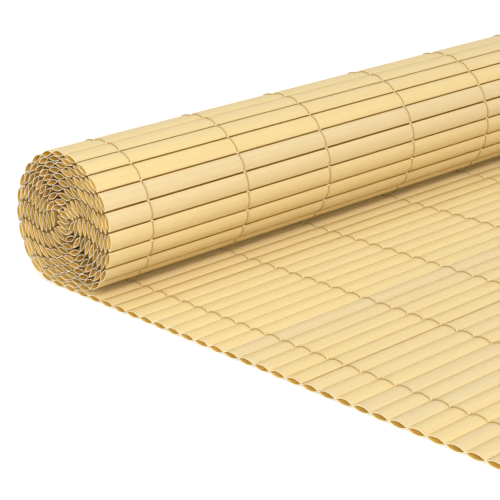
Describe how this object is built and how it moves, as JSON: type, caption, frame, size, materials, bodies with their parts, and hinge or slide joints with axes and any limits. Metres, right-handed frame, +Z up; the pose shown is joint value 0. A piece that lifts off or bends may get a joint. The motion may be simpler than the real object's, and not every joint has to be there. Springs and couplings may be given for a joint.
{
  "type": "pvc screening mat",
  "caption": "Part-rolled screening mat of hollow lens-shaped plastic slats tied side by side with rows of thread, for fences and balconies.",
  "frame": {"origin": "middle of the part's footprint, on the floor under the mat", "axes": "+X along the slats, -Y along the flat run towards the mat's free edge, +Z up"},
  "size_m": [0.9, 0.556, 0.1172],
  "materials": {
    "slat_pvc": "satin bamboo-coloured rigid PVC",
    "tie_thread": "pale translucent nylon"
  },
  "bodies": {
    "root": {"flat_slat_01": "slat_pvc", "flat_slat_02": "slat_pvc", "flat_slat_03": "slat_pvc", "flat_slat_04": "slat_pvc", "flat_slat_05": "slat_pvc", "flat_slat_06": "slat_pvc", "flat_slat_07": "slat_pvc", "flat_slat_08": "slat_pvc", "flat_slat_09": "slat_pvc", "flat_slat_10": "slat_pvc", "flat_slat_11": "slat_pvc", "flat_slat_12": "slat_pvc", "flat_slat_13": "slat_pvc", "flat_slat_14": "slat_pvc", "flat_slat_15": "slat_pvc", "flat_slat_16": "slat_pvc", "flat_slat_17": "slat_pvc", "flat_slat_18": "slat_pvc", "flat_slat_19": "slat_pvc", "flat_slat_20": "slat_pvc", "flat_slat_21": "slat_pvc", "flat_slat_22": "slat_pvc", "flat_slat_23": "slat_pvc", "flat_slat_24": "slat_pvc", "flat_slat_25": "slat_pvc", "flat_slat_26": "slat_pvc", "flat_slat_27": "slat_pvc", "flat_slat_28": "slat_pvc", "flat_slat_29": "slat_pvc", "flat_slat_30": "slat_pvc", "flat_slat_31": "slat_pvc", "flat_slat_32": "slat_pvc", "landing_slat": "slat_pvc", "roll_core": "slat_pvc", "roll_turn_01": "slat_pvc", "roll_turn_02": "slat_pvc", "roll_turn_03": "slat_pvc", "roll_turn_04": "slat_pvc", "roll_turn_05": "slat_pvc", "roll_turn_06": "slat_pvc", "roll_turn_07": "slat_pvc", "roll_turn_08": "slat_pvc", "roll_turn_09": "slat_pvc", "roll_turn_10": "slat_pvc", "tie_thread_01": "tie_thread", "tie_thread_02": "tie_thread", "tie_thread_03": "tie_thread", "tie_thread_04": "tie_thread", "tie_thread_05": "tie_thread", "tie_thread_06": "tie_thread", "tie_thread_07": "tie_thread", "tie_thread_08": "tie_thread", "tie_thread_09": "tie_thread"}
  },
  "joints": []
}
